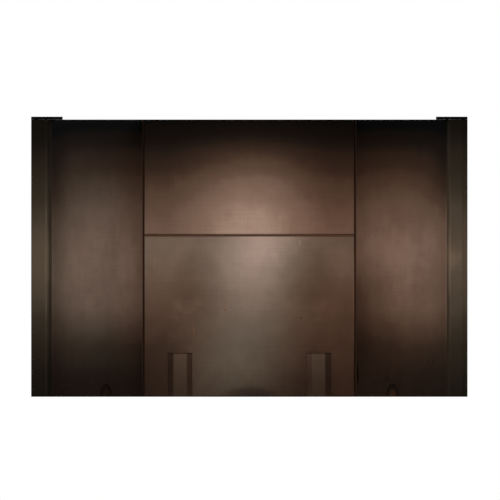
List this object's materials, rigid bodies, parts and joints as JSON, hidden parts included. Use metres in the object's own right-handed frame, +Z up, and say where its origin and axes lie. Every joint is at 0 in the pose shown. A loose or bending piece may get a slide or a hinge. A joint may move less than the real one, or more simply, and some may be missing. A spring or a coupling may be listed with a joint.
{
  "type": "firebox liner panel set",
  "caption": "Steel-faced firebox liner: two-piece back wall with log stops, angled side panels, front trims and turning retaining clips.",
  "frame": {"origin": "under the middle of the liner, on the surface that it stands on", "axes": "+Z up, +Y from the open front to the back wall, +X to the right of someone who looks into the firebox"},
  "size_m": [0.9144, 0.384, 0.587],
  "materials": {
    "face_steel": "satin grey-brown, heat stained",
    "trim_steel": "satin olive-grey",
    "rusty_steel": "matt, rust tinted",
    "black_steel": "satin black",
    "frame_steel": "matt brown-black",
    "fibre_board": "matt, fibrous",
    "zinc_steel": "dull zinc plating"
  },
  "bodies": {
    "root": {"lower_back_panel": "face_steel", "upper_back_panel": "face_steel", "left_side_panel": "face_steel", "right_side_panel": "face_steel", "left_front_trim": "trim_steel", "right_front_trim": "trim_steel", "left_log_stop": "face_steel", "right_log_stop": "face_steel", "left_gas_port_cover": "rusty_steel", "right_gas_port_cover": "rusty_steel", "seam_strip": "frame_steel", "left_corner_post": "frame_steel", "right_corner_post": "frame_steel", "left_front_stile": "frame_steel", "right_front_stile": "frame_steel", "top_rail": "frame_steel", "bottom_rail": "frame_steel", "left_clip_bracket": "frame_steel", "right_clip_bracket": "frame_steel", "lower_back_board": "fibre_board", "upper_back_board": "fibre_board", "left_side_board": "fibre_board", "right_side_board": "fibre_board", "left_clip_screw": "zinc_steel", "right_clip_screw": "zinc_steel", "corner_screws": "zinc_steel", "rail_screws": "zinc_steel", "seam_screws": "zinc_steel", "trim_studs": "zinc_steel", "trim_nuts": "zinc_steel", "log_stop_rivets": "zinc_steel"},
    "left_clip": {"left_top_clip": "black_steel"},
    "right_clip": {"right_top_clip": "black_steel"}
  },
  "joints": [
    {"name": "left_clip_turn", "type": "hinge", "parent": "root", "child": "left_clip", "pos_m": [-0.4482, -0.177, 0.58203], "axis": [0, 0, 1], "range_deg": [0, 90]},
    {"name": "right_clip_turn", "type": "hinge", "parent": "root", "child": "right_clip", "pos_m": [0.4482, -0.177, 0.58203], "axis": [0, 0, -1], "range_deg": [0, 90]}
  ]
}
